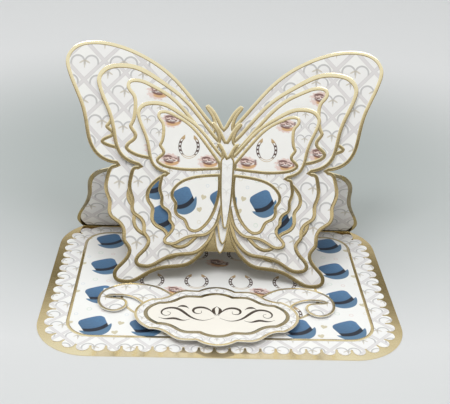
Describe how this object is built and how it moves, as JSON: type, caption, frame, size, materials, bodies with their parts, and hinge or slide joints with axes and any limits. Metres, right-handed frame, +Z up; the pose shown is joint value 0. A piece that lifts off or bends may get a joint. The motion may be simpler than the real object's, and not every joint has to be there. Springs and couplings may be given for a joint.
{
  "type": "easel card",
  "caption": "Folded easel card whose front leans back on a strut, with stacked die-cut butterflies, a lace-edged printed base and a raised scroll plaque.",
  "frame": {"origin": "on the surface it stands on, under the middle of the base", "axes": "+Z up, +X to the right of someone facing the card, +Y from the base's front edge to the hinge fold"},
  "size_m": [0.21, 0.148, 0.1324],
  "materials": {
    "gold_card": "satin",
    "lattice_print": "satin",
    "hat_print": "satin",
    "horseshoe_print": "satin",
    "wing_print": "satin",
    "body_print": "satin",
    "cream_card": "matte",
    "foam_tape": "matte"
  },
  "bodies": {
    "root": {"foam_label_back_left": "foam_tape", "foam_label_back_right": "foam_tape", "foam_label_front_left": "foam_tape", "foam_label_front_right": "foam_tape", "foam_medium_lower_left": "foam_tape", "foam_medium_lower_right": "foam_tape", "foam_medium_upper_left": "foam_tape", "foam_medium_upper_right": "foam_tape", "foam_plaque_arm_left": "foam_tape", "foam_plaque_arm_right": "foam_tape", "foam_plaque_band_left": "foam_tape", "foam_plaque_band_right": "foam_tape", "foam_plaque_volute_left": "foam_tape", "foam_plaque_volute_right": "foam_tape", "foam_small_lower_left": "foam_tape", "foam_small_lower_right": "foam_tape", "foam_small_upper_left": "foam_tape", "foam_small_upper_right": "foam_tape", "folded_card": "gold_card", "hat_panel": "hat_print", "horseshoe_panel": "horseshoe_print", "label_panel": "cream_card", "label_plate": "lattice_print", "lace_topper": "lattice_print", "large_body": "body_print", "large_butterfly": "wing_print", "medium_body": "body_print", "medium_butterfly": "wing_print", "scroll_plaque": "lattice_print", "small_body": "body_print", "small_butterfly": "wing_print", "strut_lining": "lattice_print"}
  },
  "joints": []
}
